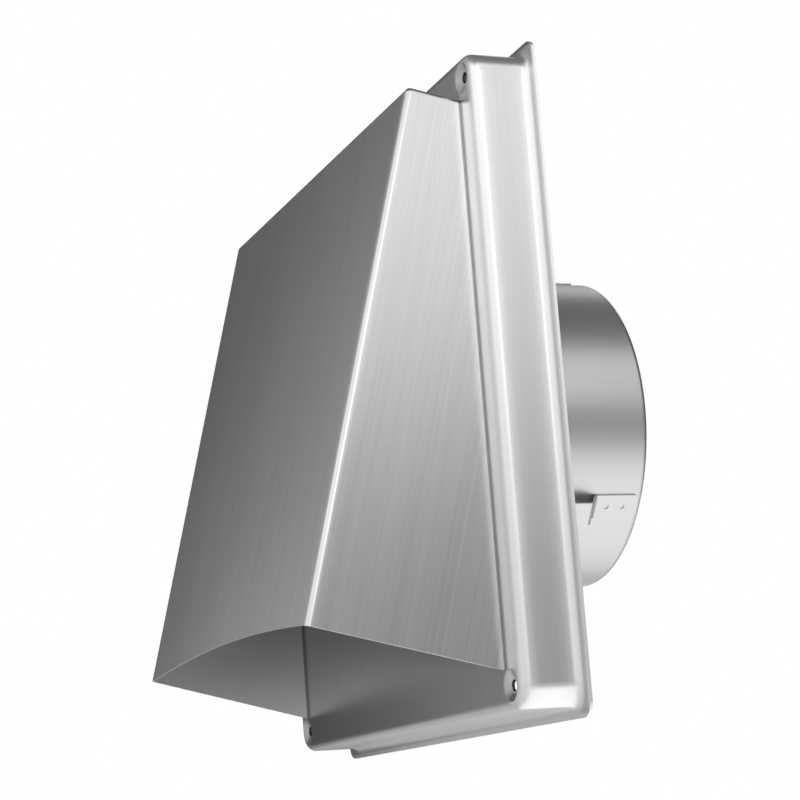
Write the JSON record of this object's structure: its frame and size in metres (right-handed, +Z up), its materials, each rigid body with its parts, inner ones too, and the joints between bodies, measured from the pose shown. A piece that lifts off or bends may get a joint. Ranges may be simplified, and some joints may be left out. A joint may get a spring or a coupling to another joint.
{
  "type": "wall vent cap",
  "caption": "Square wall vent cap in brushed stainless steel: deep wall plate with dished screw seats, sloping rain hood open underneath, and a round duct spigot with spring clips.",
  "frame": {"origin": "on the axis of the duct spigot, in the plane of the wall that the plate's lip stands on", "axes": "+X to the right as one faces the wall, +Y into the wall along the duct spigot, +Z up; the hood is at -Y and its open side faces down"},
  "size_m": [0.246, 0.1596, 0.246],
  "materials": {
    "plate_steel": "brushed",
    "hood_steel": "brushed",
    "spigot_steel": "satin",
    "clip_steel": "satin"
  },
  "bodies": {
    "root": {"wall_plate": "plate_steel", "hood": "hood_steel", "duct_spigot": "spigot_steel", "spring_clip_1": "clip_steel", "spring_clip_2": "clip_steel", "spring_clip_3": "clip_steel"}
  },
  "joints": []
}
